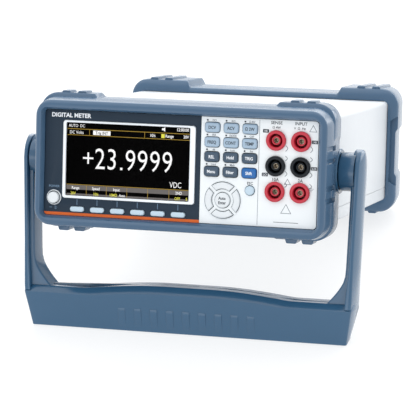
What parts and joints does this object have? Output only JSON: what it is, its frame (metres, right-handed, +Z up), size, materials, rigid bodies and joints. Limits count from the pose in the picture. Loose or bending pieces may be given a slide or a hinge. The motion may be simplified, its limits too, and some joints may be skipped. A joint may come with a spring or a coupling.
{
  "type": "bench multimeter",
  "caption": "Bench multimeter with colour display, push keys, banana jacks and corner bumpers, tilted up on its swinging U-shaped carrying handle.",
  "frame": {"origin": "middle of the outline on the floor, under the instrument as it stands tilted on its handle", "axes": "+Z up, +Y from the front panel towards the back, +X to the right seen from the front"},
  "size_m": [0.268, 0.3166, 0.1808],
  "materials": {
    "bumper_plastic": "fine satin grain",
    "handle_plastic": "fine satin grain",
    "case_paint": "satin, fine texture",
    "fascia_plastic": "smooth satin",
    "display_panel_film": "smooth satin",
    "silver_trim": "silver satin",
    "display_glass": "clear",
    "plated_steel": "bright plated",
    "rear_sheet": "satin",
    "circuit_board": "solder mask",
    "transformer_core": "varnished laminations",
    "black_plastic": "satin",
    "red_plastic": "satin",
    "jack_red": "satin gloss",
    "soft_key_plastic": "satin",
    "blue_key_plastic": "satin",
    "light_key_plastic": "satin",
    "dark_key_plastic": "satin",
    "white_key_plastic": "satin"
  },
  "bodies": {
    "chassis": {"front_bumper": "bumper_plastic", "rear_bumper": "bumper_plastic", "top_cover": "case_paint", "base_tray": "case_paint", "rear_panel": "rear_sheet", "power_inlet": "black_plastic", "fuse_drawer": "black_plastic", "voltage_selector": "red_plastic", "lan_socket": "plated_steel", "usb_socket": "plated_steel", "serial_socket": "plated_steel", "trigger_socket": "plated_steel", "option_slot_cover": "rear_sheet", "front_fascia": "fascia_plastic", "display_panel": "display_panel_film", "display_frame": "silver_trim", "display_window": "display_glass", "jack_sense_hi": "jack_red", "jack_input_hi": "jack_red", "jack_sense_lo": "black_plastic", "jack_input_lo": "black_plastic", "jack_10a": "jack_red", "jack_2a": "jack_red", "pivot_base_right": "handle_plastic", "pivot_base_left": "handle_plastic", "main_board": "circuit_board", "transformer": "transformer_core", "input_shield": "plated_steel", "key_board": "circuit_board", "lcd_module": "plated_steel"},
    "handle": {"handle": "handle_plastic"},
    "power_button": {"power_button": "white_key_plastic"},
    "soft_key_1": {"soft_key_1": "soft_key_plastic"},
    "soft_key_2": {"soft_key_2": "soft_key_plastic"},
    "soft_key_3": {"soft_key_3": "soft_key_plastic"},
    "soft_key_4": {"soft_key_4": "soft_key_plastic"},
    "soft_key_5": {"soft_key_5": "soft_key_plastic"},
    "soft_key_6": {"soft_key_6": "soft_key_plastic"},
    "key_dc_volts": {"key_dc_volts": "light_key_plastic"},
    "key_ac_volts": {"key_ac_volts": "light_key_plastic"},
    "key_resistance": {"key_resistance": "light_key_plastic"},
    "key_frequency": {"key_frequency": "light_key_plastic"},
    "key_continuity": {"key_continuity": "light_key_plastic"},
    "key_temperature": {"key_temperature": "light_key_plastic"},
    "key_relative": {"key_relative": "dark_key_plastic"},
    "key_hold": {"key_hold": "dark_key_plastic"},
    "key_trigger": {"key_trigger": "dark_key_plastic"},
    "key_menu": {"key_menu": "dark_key_plastic"},
    "key_filter": {"key_filter": "dark_key_plastic"},
    "key_shift": {"key_shift": "blue_key_plastic"},
    "nav_right": {"nav_right": "white_key_plastic"},
    "nav_up": {"nav_up": "white_key_plastic"},
    "nav_left": {"nav_left": "white_key_plastic"},
    "nav_down": {"nav_down": "white_key_plastic"},
    "enter_key": {"enter_key": "white_key_plastic"},
    "esc_key": {"esc_key": "soft_key_plastic"}
  },
  "joints": [
    {"name": "handle_swing", "type": "hinge", "parent": "chassis", "child": "handle", "pos_m": [0, -0.10284, 0.12363], "axis": [1, 0, 0], "range_deg": [-228, 48]},
    {"name": "power_button_press", "type": "slide", "parent": "chassis", "child": "power_button", "axis": [0, 0.9583, -0.2856], "range_m": [0, 0.0025], "stiffness_N_per_m": 1200, "springref_m": -0.0008},
    {"name": "soft_key_1_press", "type": "slide", "parent": "chassis", "child": "soft_key_1", "axis": [0, 0.9583, -0.2856], "range_m": [0, 0.0012], "stiffness_N_per_m": 900, "springref_m": -0.0008},
    {"name": "soft_key_2_press", "type": "slide", "parent": "chassis", "child": "soft_key_2", "axis": [0, 0.9583, -0.2856], "range_m": [0, 0.0012], "stiffness_N_per_m": 900, "springref_m": -0.0008},
    {"name": "soft_key_3_press", "type": "slide", "parent": "chassis", "child": "soft_key_3", "axis": [0, 0.9583, -0.2856], "range_m": [0, 0.0012], "stiffness_N_per_m": 900, "springref_m": -0.0008},
    {"name": "soft_key_4_press", "type": "slide", "parent": "chassis", "child": "soft_key_4", "axis": [0, 0.9583, -0.2856], "range_m": [0, 0.0012], "stiffness_N_per_m": 900, "springref_m": -0.0008},
    {"name": "soft_key_5_press", "type": "slide", "parent": "chassis", "child": "soft_key_5", "axis": [0, 0.9583, -0.2856], "range_m": [0, 0.0012], "stiffness_N_per_m": 900, "springref_m": -0.0008},
    {"name": "soft_key_6_press", "type": "slide", "parent": "chassis", "child": "soft_key_6", "axis": [0, 0.9583, -0.2856], "range_m": [0, 0.0012], "stiffness_N_per_m": 900, "springref_m": -0.0008},
    {"name": "key_dc_volts_press", "type": "slide", "parent": "chassis", "child": "key_dc_volts", "axis": [0, 0.9583, -0.2856], "range_m": [0, 0.0012], "stiffness_N_per_m": 900, "springref_m": -0.0008},
    {"name": "key_ac_volts_press", "type": "slide", "parent": "chassis", "child": "key_ac_volts", "axis": [0, 0.9583, -0.2856], "range_m": [0, 0.0012], "stiffness_N_per_m": 900, "springref_m": -0.0008},
    {"name": "key_resistance_press", "type": "slide", "parent": "chassis", "child": "key_resistance", "axis": [0, 0.9583, -0.2856], "range_m": [0, 0.0012], "stiffness_N_per_m": 900, "springref_m": -0.0008},
    {"name": "key_frequency_press", "type": "slide", "parent": "chassis", "child": "key_frequency", "axis": [0, 0.9583, -0.2856], "range_m": [0, 0.0012], "stiffness_N_per_m": 900, "springref_m": -0.0008},
    {"name": "key_continuity_press", "type": "slide", "parent": "chassis", "child": "key_continuity", "axis": [0, 0.9583, -0.2856], "range_m": [0, 0.0012], "stiffness_N_per_m": 900, "springref_m": -0.0008},
    {"name": "key_temperature_press", "type": "slide", "parent": "chassis", "child": "key_temperature", "axis": [0, 0.9583, -0.2856], "range_m": [0, 0.0012], "stiffness_N_per_m": 900, "springref_m": -0.0008},
    {"name": "key_relative_press", "type": "slide", "parent": "chassis", "child": "key_relative", "axis": [0, 0.9583, -0.2856], "range_m": [0, 0.0012], "stiffness_N_per_m": 900, "springref_m": -0.0008},
    {"name": "key_hold_press", "type": "slide", "parent": "chassis", "child": "key_hold", "axis": [0, 0.9583, -0.2856], "range_m": [0, 0.0012], "stiffness_N_per_m": 900, "springref_m": -0.0008},
    {"name": "key_trigger_press", "type": "slide", "parent": "chassis", "child": "key_trigger", "axis": [0, 0.9583, -0.2856], "range_m": [0, 0.0012], "stiffness_N_per_m": 900, "springref_m": -0.0008},
    {"name": "key_menu_press", "type": "slide", "parent": "chassis", "child": "key_menu", "axis": [0, 0.9583, -0.2856], "range_m": [0, 0.0012], "stiffness_N_per_m": 900, "springref_m": -0.0008},
    {"name": "key_filter_press", "type": "slide", "parent": "chassis", "child": "key_filter", "axis": [0, 0.9583, -0.2856], "range_m": [0, 0.0012], "stiffness_N_per_m": 900, "springref_m": -0.0008},
    {"name": "key_shift_press", "type": "slide", "parent": "chassis", "child": "key_shift", "axis": [0, 0.9583, -0.2856], "range_m": [0, 0.0012], "stiffness_N_per_m": 900, "springref_m": -0.0008},
    {"name": "nav_right_press", "type": "slide", "parent": "chassis", "child": "nav_right", "axis": [0, 0.9583, -0.2856], "range_m": [0, 0.0012], "stiffness_N_per_m": 900, "springref_m": -0.0008},
    {"name": "nav_up_press", "type": "slide", "parent": "chassis", "child": "nav_up", "axis": [0, 0.9583, -0.2856], "range_m": [0, 0.0012], "stiffness_N_per_m": 900, "springref_m": -0.0008},
    {"name": "nav_left_press", "type": "slide", "parent": "chassis", "child": "nav_left", "axis": [0, 0.9583, -0.2856], "range_m": [0, 0.0012], "stiffness_N_per_m": 900, "springref_m": -0.0008},
    {"name": "nav_down_press", "type": "slide", "parent": "chassis", "child": "nav_down", "axis": [0, 0.9583, -0.2856], "range_m": [0, 0.0012], "stiffness_N_per_m": 900, "springref_m": -0.0008},
    {"name": "enter_key_press", "type": "slide", "parent": "chassis", "child": "enter_key", "axis": [0, 0.9583, -0.2856], "range_m": [0, 0.0012], "stiffness_N_per_m": 900, "springref_m": -0.0008},
    {"name": "esc_key_press", "type": "slide", "parent": "chassis", "child": "esc_key", "axis": [0, 0.9583, -0.2856], "range_m": [0, 0.0012], "stiffness_N_per_m": 900, "springref_m": -0.0008}
  ]
}
